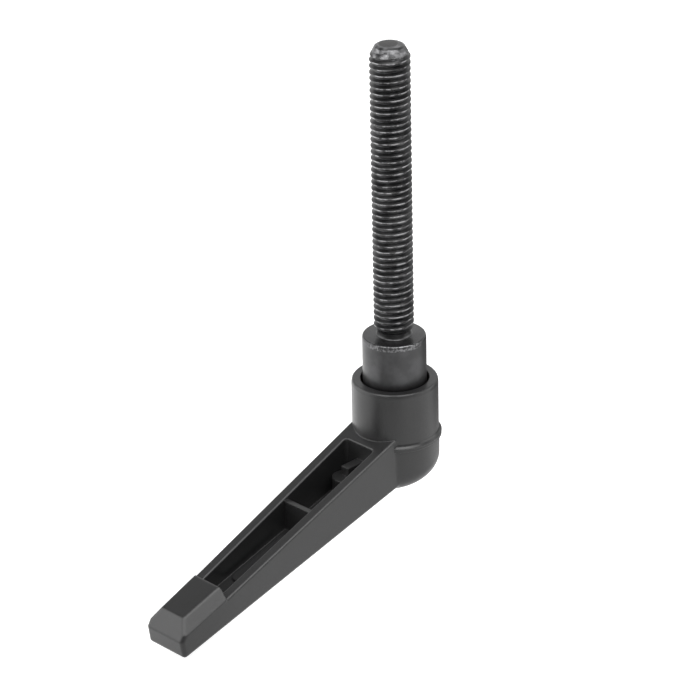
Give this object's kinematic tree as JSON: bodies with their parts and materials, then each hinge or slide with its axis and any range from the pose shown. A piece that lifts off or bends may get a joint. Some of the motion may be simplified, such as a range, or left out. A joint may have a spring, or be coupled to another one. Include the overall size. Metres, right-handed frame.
{
  "type": "adjustable clamping lever",
  "caption": "Ratchet clamping handle with a long threaded stud: lift the angled arm against its spring, turn it to a new angle and let it drop back into the serration.",
  "frame": {"origin": "on the stud's axis, in the collar's bearing face, which meets the clamped part", "axes": "+Z along the stud, away from the handle; the arm reaches out along -X and down; the arm is symmetric about the XZ plane"},
  "size_m": [0.0719, 0.0182, 0.105],
  "materials": {
    "black_powder_coat": "satin black fine-textured powder coat on a zinc casting",
    "black_oxide_steel": "black-oxide turned steel, lightly oiled, worn bright at the bearing edge and the tip",
    "spring_steel": "drawn spring wire",
    "screw_steel": "black-oxide steel"
  },
  "bodies": {
    "insert": {"threaded_insert": "black_oxide_steel", "retaining_screw": "screw_steel"},
    "spring_body": {"spring": "spring_steel"},
    "lever_body": {"lever": "black_powder_coat"}
  },
  "joints": [
    {"name": "lever_turn", "type": "hinge", "parent": "insert", "child": "spring_body", "pos_m": [0, 0, -0.0155], "axis": [0, 0, 1], "continuous": true},
    {"name": "lever_lift", "type": "slide", "parent": "spring_body", "child": "lever_body", "axis": [0, 0, -1], "range_m": [0, 0.0035], "stiffness_N_per_m": 2400, "springref_m": -0.004, "deforming": ["spring"]}
  ]
}
